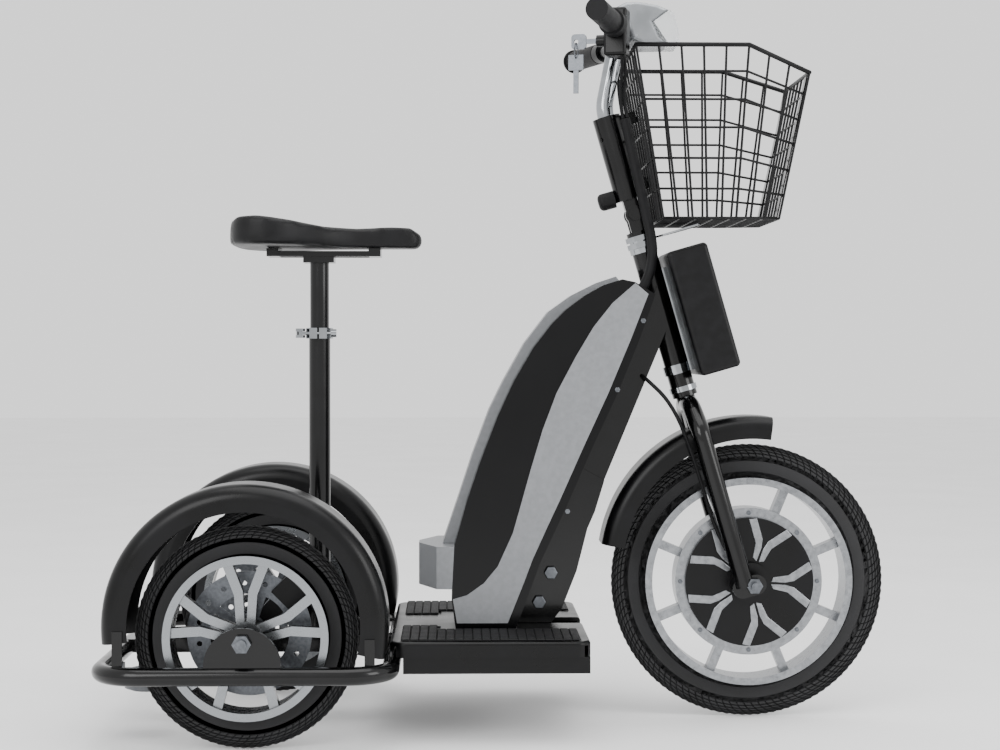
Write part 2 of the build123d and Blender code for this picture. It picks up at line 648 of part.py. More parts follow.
# ================================================================ rear wheels
hub_r, hub_half = 24.0, 30.0
rear_rim_r, rear_rim_bed = 115.0, 104.0
rear_rim_half = 26.0
spoke_pairs = 5
for name, side in (("right", -1), ("left", 1)):
    at = Plane(origin=(rear_axle_x, side * wheel_y, rear_tyre_r), x_dir=(1, 0, 0), z_dir=(0, side, 0))
    turning = Plane(origin=at.origin, x_dir=at.x_dir, z_dir=at.y_dir)
    with BuildPart() as rear_rim:
        with BuildSketch(at):
            Circle(rear_rim_r - 3)
            Circle(rear_rim_bed, mode=Mode.SUBTRACT)
        extrude(amount=rear_rim_half, both=True)
        with BuildSketch(at.offset(rear_rim_half - 3), at.offset(-rear_rim_half)):
            Circle(rear_rim_r)
            Circle(rear_rim_bed, mode=Mode.SUBTRACT)
        extrude(amount=3)
        with BuildSketch(at.offset(4)):
            with PolarLocations(0, spoke_pairs, start_angle=90):
                for lean_side in (-1, 1):
                    Polygon(
                        (15, lean_side * 1), (15, lean_side * 13), (60, lean_side * 16),
                        (106, lean_side * 34), (107, lean_side * 20), (66, lean_side * 4), align=None,
                    )
        extrude(amount=16)
        with BuildSketch(at.offset(-hub_half + 0.6)):
            Circle(hub_r)
        extrude(amount=2 * hub_half - 4)
        with Locations(at):
            Cylinder(rear_axle_r + run_fit, 3 * hub_half, mode=Mode.SUBTRACT)
    write(rear_rim, f"rear_rim_{name}")
    with BuildPart() as rear_tyre:
        with BuildSketch(turning):
            with Locations((rear_tyre_r - rear_tyre_w / 2, 0)):
                Ellipse(rear_tyre_w / 2, rear_tyre_w / 2)
            with Locations(((rear_rim_r + rear_tyre_r) / 2 - 12, 0)):
                Rectangle(24, 2 * rear_rim_half - 6)
            with Locations(((rear_rim_r - 3) / 2, 0)):
                Rectangle(rear_rim_r - 3, 100, mode=Mode.SUBTRACT)
        revolve(axis=Axis(at.origin, (0, 1, 0)))
        add(rear_rim.part, mode=Mode.SUBTRACT)
    write(rear_tyre, f"rear_tyre_{name}")
    with BuildPart() as brake_disc:
        with BuildSketch(at.offset(-(wheel_y - disc_y) - disc_thick / 2)):
            Circle(disc_r)
            Circle(56, mode=Mode.SUBTRACT)
            with PolarLocations(0, 5):
                Rectangle(60, 12, align=(Align.MIN, Align.CENTER))
            Circle(hub_r + 2)
            Circle(rear_axle_r + run_fit, mode=Mode.SUBTRACT)
            with PolarLocations(72, 15):
                Circle(4, mode=Mode.SUBTRACT)
        extrude(amount=disc_thick)
    write(brake_disc, f"brake_disc_{name}")

# ================================================================ front wheel with its hub motor
front_rim_r, front_rim_bed, front_rim_half = 156.5, 146.0, 27.0
motor_r, motor_cover_r, motor_half = 111.0, 96.6, 26.0
front_plane = across(front_axle_x, front_tyre_r)
front_turning = Plane(origin=front_plane.origin, x_dir=(1, 0, 0), z_dir=front_plane.y_dir)
with BuildPart() as front_rim:
    with BuildSketch(front_plane):
        Circle(front_rim_r - 3)
        Circle(front_rim_bed, mode=Mode.SUBTRACT)
    extrude(amount=front_rim_half, both=True)
    with BuildSketch(front_plane.offset(front_rim_half - 3), front_plane.offset(-front_rim_half)):
        Circle(front_rim_r)
        Circle(front_rim_bed, mode=Mode.SUBTRACT)
    extrude(amount=3)
    with BuildSketch(front_plane):
        with PolarLocations(0, 8, start_angle=22.5):
            with Locations((128, 0)):
                Rectangle(40, 13)
    extrude(amount=11, both=True)
    with Locations(front_plane):
        Cylinder(motor_r, 2 * motor_half - 6)
    with BuildSketch(front_plane):
        Circle(axle_r + run_fit)
    extrude(amount=motor_half, both=True, mode=Mode.SUBTRACT)
write(front_rim, "front_rim")

with BuildPart() as motor_covers:
    for side in (-1, 1):
        with BuildSketch(across(front_axle_x, front_tyre_r, side * (motor_half - 3 + 4))):
            Circle(motor_cover_r)
        extrude(amount=4, both=True, taper=0)
        with BuildSketch(across(front_axle_x, front_tyre_r, side * (motor_half + 5 + 6))):
            Circle(30)
        extrude(amount=6, both=True)
    with BuildSketch(front_plane):
        Circle(axle_r + run_fit)
    extrude(amount=60, both=True, mode=Mode.SUBTRACT)
write(motor_covers, "motor_covers")

with BuildPart() as front_tyre:
    with BuildSketch(front_turning):
        with Locations((front_tyre_r - front_tyre_w / 2, 0)):
            Circle(front_tyre_w / 2)
        with Locations((front_rim_r + 10, 0)):
            Rectangle(26, 2 * front_rim_half - 6)
        with Locations(((front_rim_r - 3) / 2, 0)):
            Rectangle(front_rim_r - 3, 100, mode=Mode.SUBTRACT)
    revolve(axis=Axis(front_plane.origin, (0, 1, 0)))
    add(front_rim.part, mode=Mode.SUBTRACT)
write(front_tyre, "front_tyre")

with BuildPart() as front_axle:
    with Locations(front_plane):
        Cylinder(axle_r, 2 * (leg_y + leg_r + 8))
    for side in (-1, 1):
        with BuildSketch(across(front_axle_x, front_tyre_r, side * (leg_y + dropout_thick / 2 + 5.5))):
            RegularPolygon(10.5, 6, major_radius=False)
            Circle(axle_r, mode=Mode.SUBTRACT)
        extrude(amount=5, both=True)
    add(fork.part, mode=Mode.SUBTRACT)
write(front_axle, "front_axle")

front_fender_r, front_fender_half = 228.0, 47.5
front_fender_centre = (front_axle_x + 2.5, 0, front_tyre_r + 22)
front_shell = fender_shell(front_fender_centre, front_fender_r, front_fender_half, 34.0, 2.5, 82.0, 171.0, 20.0)
with BuildPart() as front_fender:
    add(front_shell)
    with BuildSketch(steer.offset(crown_up - leg_r + 3)):
        Rectangle(22, 30)
    extrude(amount=-26)
    add(fork.part, mode=Mode.SUBTRACT)
write(front_fender, "front_fender")

# ================================================================ seat
seat_tube_r = 16.0
with BuildPart(Location((seat_axis_x, 0, spine_high))) as seat_tube:
    Cylinder(seat_tube_r, seat_tube_top - spine_high, align=LOW)
    with BuildSketch(Plane.XZ):
        Polygon(
            (seat_axis_x, spine_high), (seat_axis_x + 75, spine_high), (seat_axis_x, spine_high + 120), align=None,
        )
        Polygon(
            (seat_axis_x, spine_high), (seat_axis_x - 55, spine_high), (seat_axis_x, spine_high + 90), align=None,
        )
    extrude(amount=3, both=True)
    with Locations((0, 0, 6)):
        Cylinder(post_r + run_fit, seat_tube_top, align=LOW, mode=Mode.SUBTRACT)
write(seat_tube, "seat_tube")

clamp_z, clamp_height = seat_tube_top - 16.0, 16.0
skewer_y = -26.0
with BuildPart(Location((seat_axis_x, 0, clamp_z))) as seat_clamp:
    Cylinder(seat_tube_r + 4.5, clamp_height, align=LOW)
    with Locations((0, -seat_tube_r - 8, 0)):
        Box(26, 18, clamp_height, align=LOW)
    Cylinder(seat_tube_r, clamp_height, align=LOW, mode=Mode.SUBTRACT)
    with Locations((0, -seat_tube_r - 10, 0)):
        Box(3, 26, clamp_height, align=LOW, mode=Mode.SUBTRACT)
    with Locations((0, skewer_y, clamp_height / 2)):
        Cylinder(2.5, 52, rotation=(0, 90, 0))
    with Locations((23, skewer_y, clamp_height / 2)):
        Cylinder(6, 8, rotation=(0, 90, 0))
    with Locations((-24, skewer_y, clamp_height / 2)):
        Box(10, 10, 5)
    with Locations((-27, skewer_y, clamp_height / 2)):
        Cylinder(2.5, 14)
write(seat_clamp, "seat_clamp")

cam_x = seat_axis_x - 27.0
cam_hole_r = 2.5 + run_fit
with BuildPart() as clamp_lever:
    with BuildSketch(Plane.XY.offset(clamp_z + clamp_height / 2 - 7)):
        with Locations((cam_x, skewer_y)):
            Circle(7)
        with BuildLine():
            lever_line = FilletPolyline(
                (cam_x, skewer_y), (cam_x - 6, skewer_y + 22), (cam_x - 3, skewer_y + 52), radius=30,
            )
        trace(lever_line, line_width=6)
        with Locations((cam_x, skewer_y)):
            Circle(cam_hole_r, mode=Mode.SUBTRACT)
    extrude(amount=14)
    with Locations((cam_x, skewer_y, clamp_z + clamp_height / 2)):
        Cylinder(10.4, 5.8, mode=Mode.SUBTRACT)
write(clamp_lever, "clamp_lever")

post_low, post_top = 330.0, 688.0
saddle_low, saddle_high = 709.0, 753.0
with BuildPart() as seat_post:
    with Locations((seat_axis_x, 0, post_low)):
        Cylinder(post_r, post_top - post_low, align=LOW)
    with Locations((seat_axis_x, 0, post_top)):
        Box(46, 44, 12, align=LOW)
    with Locations(*[(seat_axis_x + 8, side * 22, post_top + 13) for side in (-1, 1)]):
        Box(170, 8, 8)
    with Locations((seat_axis_x - 68, 0, post_top + 15)):
        Box(18, 60, 12)
    with Locations((seat_axis_x + 84, 0, post_top + 15)):
        Box(18, 52, 12)
write(seat_post, "seat_post")

saddle_side = [
    (-407, saddle_low + 2), (-403, 744), (-390, 752), (-360, saddle_high), (-320, 748),
    (-270, 740), (-220, 738), (-170, 741), (-140, 740), (-124, 730), (-121, 718), (-128, saddle_low),
]
saddle_half = [
    (-406, 44), (-400, 84), (-378, 113), (-345, 120), (-312, 108), (-275, 76), (-235, 48), (-190, 33),
    (-150, 25), (-128, 18), (-121, 0),
]
with BuildPart() as saddle:
    with BuildSketch(Plane.XY.offset(saddle_low)):
        with BuildLine():
            rim_line = Spline(
                (-407, 0), *saddle_half, *[(x, -y) for x, y in reversed(saddle_half[:-1])], (-407, 0),
                tangents=((0, 1, 0), (0, 1, 0)),
            )
        make_face()
    extrude(amount=60)
    with BuildSketch(Plane.XZ):
        Polygon(*saddle_side, align=None)
    extrude(amount=130, both=True, mode=Mode.INTERSECT)
write(saddle, "saddle")

# ================================================================ deck
deck_mid_x = (deck_back_x + deck_front_x) / 2
deck_length = deck_front_x - deck_back_x
board_low = hoop_high + 0.5
mat_recess = 2.0
tray_low, tray_wall = 101.6, 3.0


def mat_plan(margin):
    """The plan of the two mats, kept clear of the battery cover's foot, made outside any block."""
    with BuildSketch(Plane.XY.offset(deck_top - mat_recess)) as plan:
        with Locations((deck_mid_x, 0)):
            Rectangle(deck_length - 2 * margin, 2 * (deck_half_width - margin - 1))
            Rectangle(deck_length, 2 * (50 + margin), mode=Mode.SUBTRACT)
        with Locations((deck_front_x - 100 - margin, 0)):
            Rectangle(200, 2 * (cover_foot_half - 8 + margin), mode=Mode.SUBTRACT)
    return plan.sketch


board_cut, mat_shape = mat_plan(10), mat_plan(10.3)
with BuildPart() as deck_board:
    with Locations((deck_mid_x - 1, 0, board_low)):
        Box(deck_length + 8, 2 * deck_half_width, deck_top - board_low, align=LOW)
    fillet(deck_board.edges().filter_by(Axis.Z), 22)
    fillet(deck_board.edges().group_by(Axis.Z)[-1], 5)
    with Locations((deck_mid_x - 1, 0, board_low)):
        Box(deck_length, 2 * deck_half_width - 8, deck_top - board_low - 6, align=LOW, mode=Mode.SUBTRACT)
    extrude(board_cut, amount=10, mode=Mode.SUBTRACT)
    with Locations((deck_front_x - 24, 0, deck_top)):
        Box(84, 60, 30, mode=Mode.SUBTRACT)
write(deck_board, "deck_board")

with BuildPart() as deck_mats:
    extrude(mat_shape, amount=5)
write(deck_mats, "deck_mats")

with BuildPart() as deck_tray:
    with Locations((deck_mid_x + 8, 0, tray_low)):
        Box(deck_length - 12, 2 * deck_half_width - 12, board_low - tray_low, align=LOW)
    with Locations((deck_mid_x + 8, 0, tray_low + tray_wall)):
        Box(deck_length - 12 - 2 * tray_wall, 2 * (deck_half_width - 6 - tray_wall), 60, align=LOW, mode=Mode.SUBTRACT)
    add(bumper_hoop.part, mode=Mode.SUBTRACT)
    add(spine.part, mode=Mode.SUBTRACT)
write(deck_tray, "deck_tray")

# ================================================================ battery cover
cover_wall = 3.0
cover_back = [
    (-72, deck_top + 0.2), (-78, 190), (-74, 268), (-55, 336), (-38, 387), (-10, 460), (14, 512), (42, 560),
    (69, 595), (90, 616), (118, 637), (145, 652), (173, 661), (192, 657),
]
cover_front = [
    (222, 639), (198, 571), (164.5, 489), (129, 413), (94, 333), (74, 290), (53, 245), (40, 210), (17, deck_top + 0.2),
]
stripe_back = [
    (192.3, 655.4), (158.6, 626.1), (130.7, 590.9), (104.4, 546.9), (76.5, 494.1), (56.0, 439.9), (38.4, 381.3),
    (23.7, 328.5), (12.0, 287.5), (-10.0, 239.1), (-30.5, 214.2), (-55.4, 196.6), (-76, 190.7),
]
stripe_front = [
    (211.4, 639.3), (186.4, 574.8), (152.7, 494.1), (117.6, 417.9), (82.4, 338.8), (61.9, 294.8),
    (41.3, 249.3), (28.1, 214.2), (4.7, 155.5), (-70, 155.5),
]
stripe_thick = 3.0
inner_front = [(x + 6, z) for x, z in cover_front]
with BuildPart() as cover_shell:
    with BuildSketch(Plane.XZ):
        Polygon(*cover_back, *cover_front, align=None)
    extrude(amount=cover_half - stripe_thick, both=True)
    with BuildSketch(Plane.XZ):
        with BuildSketch(mode=Mode.PRIVATE) as inside:
            Polygon(*cover_back, *inner_front, align=None)
        offset(inside.sketch, amount=-cover_wall, kind=Kind.INTERSECTION)
        Polygon((-66, 155), (20, 155), (20, 140), (-66, 140), align=None)
    extrude(amount=cover_half - stripe_thick - cover_wall, both=True, mode=Mode.SUBTRACT)
    # Room for the down tube and its foot plates.
    with BuildSketch(Plane.XZ):
        Polygon(
            on_tube(tube_depth + 1, 105), on_tube(-60, 105), on_tube(-60, -430), on_tube(tube_depth + 1, -430), align=None,
        )
    extrude(amount=tube_half + foot_thick + 1, both=True, mode=Mode.SUBTRACT)
    with BuildSketch(steer.offset(head_low)):
        Circle(head_r + 3)
    extrude(amount=head_length, mode=Mode.SUBTRACT)
write(cover_shell, "cover_shell")

with BuildPart() as cover_sides:
    for side in (-1, 1):
        face = cover_half - stripe_thick if side > 0 else -cover_half
        with BuildSketch(Plane.XZ.offset(-face)):
            Polygon(*stripe_back, *reversed(stripe_front), align=None)
        extrude(amount=-stripe_thick)
write(cover_sides, "cover_sides")

spine_front = [(x + 0.0, z) for x, z in cover_back[2:13]]
spine_back = [
    (-91, 268), (-67, 339), (-47, 400), (-22, 467), (-1, 510), (31, 567), (67, 614), (102, 639), (138, 657), (168, 667),
]
with BuildPart() as cover_spine:
    with BuildSketch(Plane.XZ):
        Polygon(*spine_back, *reversed(spine_front), align=None)
    extrude(amount=34, both=True)
    add(cover_shell.part, mode=Mode.SUBTRACT)
write(cover_spine, "cover_spine")

ledge_low, ledge_high = 205.0, 267.5
with BuildPart() as cover_ledge:
    with BuildSketch(Plane.XY.offset(ledge_low)):
        Polygon((-70, -88), (-100, -84), (-127, -18), (-127, 18), (-100, 84), (-70, 88), align=None)
    extrude(amount=ledge_high - ledge_low)
    with BuildSketch(Plane.XZ):
        Polygon(*cover_back, *cover_front, align=None)
    extrude(amount=cover_half, both=True, mode=Mode.SUBTRACT)
write(cover_ledge, "cover_ledge")

with BuildPart() as battery_pack:
    with BuildSketch(Plane.XZ):
        Polygon(on_tube(46, -20), on_tube(128, -20), on_tube(128, -350), on_tube(46, -350), align=None)
    extrude(amount=75, both=True)
write(battery_pack, "battery_pack")

# ================================================================ controller box ahead of the head tube
box_back, box_front, box_low, box_high, box_half = 24.0, 86.0, 16.5, 207.5, 70.0
with BuildPart(steer.offset(box_low)) as controller_box:
    with Locations(((box_back + box_front) / 2, 0, 0)):
        Box(box_front - box_back, 2 * box_half, box_high - box_low, align=LOW)
    fillet(controller_box.edges(), 7)
write(controller_box, "controller_box")

band_up, band_height = 28.0, 14.0
with BuildPart(steer.offset(band_up)) as controller_bracket:
    with Locations(((head_r + box_back) / 2, 0, 0)):
        Box(box_back - head_r + 4, 34, 160, align=LOW)
    Cylinder(head_r + 3, band_height, align=LOW)
    with Locations((0, 0, -1)):
        Cylinder(head_r, 170, align=LOW, mode=Mode.SUBTRACT)
    with Locations((box_back + 20, 0, -1)):
        Box(40, 60, 170, align=LOW, mode=Mode.SUBTRACT)
write(controller_bracket, "controller_bracket")

# ================================================================ cables
cable_r, loom_r = 2.5, 8.0
loom_y = -28.0
loom_top_up = stem_high - 12.0
loom_top = on_steer(24, loom_y, loom_top_up)
bar_cable_runs = []
for bar_y, off_f, off_y in ((-74, -3, -3), (-58, 3, -3), (60, -3, 3), (75, 3, 3)):
    swing = 30 if bar_y > 0 else -50
    bar_cable_runs.append([
        Vector(bar_x + 1, bar_y, bar_z - bar_r - 2.1),
        on_steer(42 + off_f, swing + off_y, 490),
        on_steer(28 + off_f, loom_y + 6 + off_y, 452),
        on_steer(24 + off_f, loom_y + off_y, loom_top_up + 0.7),
    ])
cable_rods = [tube_along(run, [18.0, 18.0], cable_r) for run in bar_cable_runs]
with BuildPart() as bar_cables:
    add(cable_rods)
write(bar_cables, "bar_cables")

# The loom passes the fold hinge, then turns back to the top of the battery cover.
loom_knee = on_steer(18, loom_y, stem_low + 20)
loom_turn = on_steer(12, loom_y - 4, head_high + 4)
loom_split = loom_turn + (loom_knee - loom_turn) * 0.26
stem_rod = tube_along([loom_top, loom_knee, loom_split], [120.0], loom_r)
with BuildPart() as stem_loom:
    add(stem_rod)
write(stem_loom, "stem_loom")

entry_out = Vector(0.514, 0, 0.857)  # square to the cover's sloping top edge
loom_entry = Vector(207, -37, 648) + entry_out * 0.3
frame_rod = tube_along([loom_split, loom_turn, loom_entry + entry_out * 24, loom_entry], [20.0, 16.0], loom_r)
with BuildPart() as frame_loom:
    add(frame_rod)
write(frame_loom, "frame_loom")

lead_start = Vector(208, -tube_half - 0.2, 518)
lead_run = [
    lead_start, lead_start + Vector(0, -24, 0), Vector(252, -50, 476), on_steer(-18, -54, -100),
    on_steer(-18, -54, -230), Vector(front_axle_x - 12, -50, front_tyre_r + 10),
]
lead_rod = tube_along(lead_run, [9.0, 18.0, 20.0, 20.0], 3.0)
with BuildPart() as motor_lead:
    add(lead_rod)
write(motor_lead, "motor_lead")

brake_rods = []
for side in (-1, 1):
    caliper_face = Vector(rear_axle_x + 56.6, side * (disc_y - 23.2), rear_tyre_r + 56.6)
    brake_run = [
        caliper_face, caliper_face + Vector(0, -side * 28, 0), Vector(-225, side * 90, 136),
        Vector(deck_back_x - 5.2, side * 90, 136),
    ]
    brake_rods.append(tube_along(brake_run, [12.0, 20.0], cable_r))
with BuildPart() as brake_cables:
    add(brake_rods)
write(brake_cables, "brake_cables")
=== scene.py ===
# %% [markdown]
# # A three-wheeled electric scooter
# The measured model gives every hard piece its size and place. This lesson gives the pieces their
# finishes, and makes the ones that a solid can't show: basket wire, tyre tread, a soft saddle, and
# the cables. Everything is in metres: +X is forward, +Y is the rider's left, +Z is up.

# %% Load the measured model
from math import cos, pi, radians, sin

import bmesh
import bpy
from mathutils import Matrix, Vector


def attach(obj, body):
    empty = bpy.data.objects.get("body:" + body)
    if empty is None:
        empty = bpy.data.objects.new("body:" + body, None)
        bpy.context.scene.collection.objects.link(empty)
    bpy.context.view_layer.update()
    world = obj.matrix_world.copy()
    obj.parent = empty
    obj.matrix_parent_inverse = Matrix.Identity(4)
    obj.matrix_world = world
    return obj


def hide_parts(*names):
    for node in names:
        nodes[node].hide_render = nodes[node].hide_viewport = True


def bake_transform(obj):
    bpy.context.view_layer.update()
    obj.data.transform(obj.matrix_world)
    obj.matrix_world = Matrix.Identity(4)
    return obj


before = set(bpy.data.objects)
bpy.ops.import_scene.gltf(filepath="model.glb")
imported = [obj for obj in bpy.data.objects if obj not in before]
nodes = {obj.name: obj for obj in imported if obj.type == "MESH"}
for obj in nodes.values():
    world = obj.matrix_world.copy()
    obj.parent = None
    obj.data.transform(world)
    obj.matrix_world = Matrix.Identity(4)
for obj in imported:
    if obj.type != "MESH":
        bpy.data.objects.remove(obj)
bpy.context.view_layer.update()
print("pieces in the model:", len(nodes))

# %% [markdown]
# ## The steering axis
# The fork, stem and basket are built along an axis that leans back 16 degrees. Points on them are
# easier to give as forward of the axis, to the left of it, and up along it.

# %% Points along the leaning axis
rake = radians(16)
front_axle = Vector((0.370, 0, 0.208))
head = Vector((
    front_axle.x - 0.013 * cos(rake) - 0.3022 * sin(rake), 0,
    front_axle.z - 0.013 * sin(rake) + 0.3022 * cos(rake),
))


def on_steer(forward, side, up):
    """A point given from the steering axis, in millimetres."""
    f, y, u = forward / 1000, side / 1000, up / 1000
    return Vector((head.x + f * cos(rake) - u * sin(rake), y, head.z + f * sin(rake) + u * cos(rake)))


print("lower headset at", tuple(round(v, 3) for v in head))

# %% [markdown]
# ## Finishes
# A finish is a small web of nodes. One function adds a node, sets its values and makes its links,
# so that each material below reads as a list of what the surface has.

# %% Helpers for finishes
def linear(hex_colour, alpha=1.0):
    """An sRGB hex colour as the linear values that a shader wants."""
    parts = [int(hex_colour[i:i + 2], 16) / 255 for i in (1, 3, 5)]
    return [v / 12.92 if v <= 0.04045 else ((v + 0.055) / 1.055) ** 2.4 for v in parts] + [alpha]


def add_node(tree, kind, settings=None, inputs=None, links=None):
    """A node of that kind, with its settings, input values and incoming links."""
    made = tree.nodes.new("ShaderNode" + kind)
    for key, value in (settings or {}).items():
        setattr(made, key, value)
    for key, value in (inputs or {}).items():
        made.inputs[key].default_value = value
    for key, socket in (links or {}).items():
        tree.links.new(socket, made.inputs[key])
    return made


def finish(name, dark, light, rough, metal=0.0, size=40.0, bump=0.1, depth=0.0004, coat=0.0, detail=6.0, rough_spread=0.12, **extra):
    """A surface whose colour, roughness and height vary with a noise of real size: size is in lumps per metre."""
    mat = bpy.data.materials.new(name)
    mat.use_nodes = True
    tree = mat.node_tree
    tree.nodes.clear()
    place = add_node(tree, "TexCoord")
    blotch = add_node(tree, "TexNoise", inputs={"Scale": size, "Detail": detail}, links={"Vector": place.outputs["Object"]})
    grain = add_node(tree, "TexNoise", inputs={"Scale": size * 22, "Detail": 3.0}, links={"Vector": place.outputs["Object"]})
    colour = add_node(
        tree, "ValToRGB", links={"Fac": blotch.outputs["Fac"]},
    )
    colour.color_ramp.elements[0].position, colour.color_ramp.elements[1].position = 0.35, 0.68
    colour.color_ramp.elements[0].color, colour.color_ramp.elements[1].color = linear(dark), linear(light)
    dull = add_node(
        tree, "MapRange", inputs={"To Min": max(rough - rough_spread, 0.02), "To Max": rough + rough_spread},
        links={"Value": blotch.outputs["Fac"]},
    )
    relief = add_node(tree, "Bump", inputs={"Strength": bump, "Distance": depth}, links={"Height": grain.outputs["Fac"]})
    surface = add_node(
        tree, "BsdfPrincipled", inputs={"Metallic": metal, "Coat Weight": coat, "Coat Roughness": 0.08, **extra},
        links={"Base Color": colour.outputs["Color"], "Roughness": dull.outputs["Result"], "Normal": relief.outputs["Normal"]},
    )
    add_node(tree, "OutputMaterial", links={"Surface": surface.outputs["BSDF"]})
    return mat


# %% [markdown]
# ## The scooter's finishes
# Nearly all of it is black, so roughness does the work that colour does elsewhere: paint is glossy,
# moulded plastic is satin, and rubber is dull.

# %% Paints, plastics, rubbers and metals
# Black surfaces here reflect less than the shader's usual amount, which keeps them deep in a white room.
quiet = {"Specular IOR Level": 0.22}
# Frame paint gives a hard narrow highlight, with faint orange peel.
paint = finish("gloss_black_paint", "#020202", "#050506", 0.2, size=30, bump=0.05, coat=0.25, **quiet)
# Fender plastic gives a broader highlight, dulled in patches.
moulded = finish("satin_black_plastic", "#030303", "#08080a", 0.3, size=18, bump=0.12, **quiet)
# The cover is polished plastic, with soft long reflections.
glossy = finish("polished_black_plastic", "#020203", "#050506", 0.2, size=9, bump=0.03, rough_spread=0.05, **quiet)
# Side stripes are silver-grey paint over plastic, with a fine metallic speckle.
silver_stripe = finish("silver_grey_paint", "#77797c", "#7f8184", 0.42, size=140, bump=0.25, depth=0.0001, metal=0.2)
# Powder-like black covers the wires and the controller box.
powder = finish("black_powder_coat", "#050506", "#0c0c0e", 0.42, size=80, bump=0.35, depth=0.0002, **quiet)
# Tyres are dusty dark grey, matte all over.
tyre_rubber = finish("tyre_rubber", "#121213", "#1f1f21", 0.72, size=26, bump=0.3, depth=0.0004)
# Grips, mats and cables are soft dark rubber.
soft_rubber = finish("soft_black_rubber", "#070708", "#111113", 0.6, size=60, bump=0.3, **quiet)
# Chrome is nearly clean, with slight haze.
chrome = finish("polished_chrome", "#8d9093", "#a7aaad", 0.1, metal=1.0, size=25, bump=0.02, rough_spread=0.05)
# Machined faces are bright, with a fine tooth.
machined = finish("machined_aluminium", "#7f8184", "#97999c", 0.3, metal=1.0, size=130, bump=0.1, depth=0.0001)
# Brushed steel is darker and rougher.
steel = finish("brushed_steel", "#5c5f63", "#72757a", 0.38, metal=1.0, size=220, bump=0.15, depth=0.0001)
# White-silver shell of the headlight.
lamp_shell = finish("silver_lamp_shell", "#85888b", "#9b9ea1", 0.25, metal=0.6, size=30, bump=0.03)
horn_shell = finish("grey_enamel", "#4b4e52", "#63666a", 0.38, size=40)
# Vinyl over foam: pebbled, with a low sheen.
vinyl = finish("saddle_vinyl", "#060607", "#0e0e10", 0.4, size=34, bump=0.55, depth=0.0006, **quiet)
lens_clear = finish("clear_lens", "#eef2f4", "#ffffff", 0.1, size=20, bump=0.25, depth=0.001, rough_spread=0.03, IOR=1.49, **{"Transmission Weight": 0.55})
print("finishes:", len(bpy.data.materials))

# %% [markdown]
# ## Two-tone wheels
# The rims are painted black, then their outer faces are cut bright. One material does both: it is
# bright where the surface faces along the axle, and black everywhere else.

# %% Bright-cut wheel finish
def two_tone(name, bright_from):
    """Machined where the surface faces sideways, black paint on the rest."""
    mat = bpy.data.materials.new(name)
    mat.use_nodes = True
    tree = mat.node_tree
    tree.nodes.clear()
    place = add_node(tree, "TexCoord")
    sides = add_node(tree, "SeparateXYZ", links={"Vector": place.outputs["Normal"]})
    facing = add_node(tree, "Math", {"operation": "ABSOLUTE"}, links={0: sides.outputs["Y"]})
    cut = add_node(tree, "Math", {"operation": "GREATER_THAN"}, {1: bright_from}, {0: facing.outputs[0]})
    swirl = add_node(tree, "TexNoise", inputs={"Scale": 70.0}, links={"Vector": place.outputs["Object"]})
    tint = add_node(tree, "Mix", {"data_type": "RGBA"}, links={"Factor": cut.outputs[0]})
    tint.inputs[6].default_value, tint.inputs[7].default_value = linear("#0b0b0c"), linear("#8e9194")
    rough = add_node(tree, "MapRange", inputs={"To Min": 0.18, "To Max": 0.36}, links={"Value": swirl.outputs["Fac"]})
    surface = add_node(
        tree, "BsdfPrincipled",
        links={"Base Color": tint.outputs[2], "Metallic": cut.outputs[0], "Roughness": rough.outputs["Result"]},
    )
    add_node(tree, "OutputMaterial", links={"Surface": surface.outputs["BSDF"]})
    return mat


bright_cut = two_tone("bright_cut_wheel", 0.8)

# %% Give every measured piece its finish
finishes = {
    paint: "bumper_hoop spine down_tube axle_plates fork seat_tube stem_tube handlebar_tube fold_hinge head_tube seat_post",
    moulded: "rear_fenders front_fender deck_board deck_tray throttle_housing battery_pack motor_covers horn_button brake_perch",
    lamp_shell: "headlight_body",
    glossy: "cover_shell",
    silver_stripe: "cover_sides cover_spine cover_ledge",
    powder: "controller_box basket brake_calipers",
    chrome: "gooseneck headset_nuts headset_cups basket_stay clamp_lever seat_clamp brake_lever controller_bracket",
    steel: "rear_axle front_axle brake_disc_left brake_disc_right ignition_key spare_key",
    bright_cut: "rear_rim_left rear_rim_right",
    machined: "front_rim",
    tyre_rubber: "front_tyre rear_tyre_left rear_tyre_right",
    soft_rubber: "throttle_grip left_grip deck_mats latch_knob bar_cables stem_loom frame_loom motor_lead brake_cables",
    vinyl: "saddle",
    lens_clear: "headlight_lens",
    horn_shell: "horn",
}
dressed = 0
for look, names in finishes.items():
    for name in names.split():
        nodes[name].data.materials.clear()
        nodes[name].data.materials.append(look)
        dressed += 1
print("dressed", dressed, "of", len(nodes))

# %% [markdown]
# ## Softening the edges
# A moulded or cast edge is never sharp, and it is the edge that catches the light. A bevel modifier
# rounds only edges that turn by more than 35 degrees, so flat facets along a curve stay smooth.

# %% Round the moulded edges
for name, width in {
    "cover_shell": 0.006, "cover_spine": 0.005, "cover_sides": 0.0012, "cover_ledge": 0.005,
    "throttle_housing": 0.001, "down_tube": 0.002, "rear_rim_left": 0.0012, "rear_rim_right": 0.0012,
    "front_rim": 0.0012, "motor_covers": 0.003, "deck_tray": 0.003, "axle_plates": 0.001,
}.items():
    rounder = nodes[name].modifiers.new("rounded_edges", "BEVEL")
    rounder.width, rounder.segments, rounder.limit_method, rounder.angle_limit = width, 2, "ANGLE", radians(35)
    nodes[name].data.shade_smooth()
    rounder.harden_normals = True
print("rounded", sum(1 for n in nodes.values() if n.modifiers))

# %% [markdown]
# ## Helpers for new pieces
# A new piece is a mesh with its origin at the model's origin. It rides on a body, so that it moves
# with that body's joints.

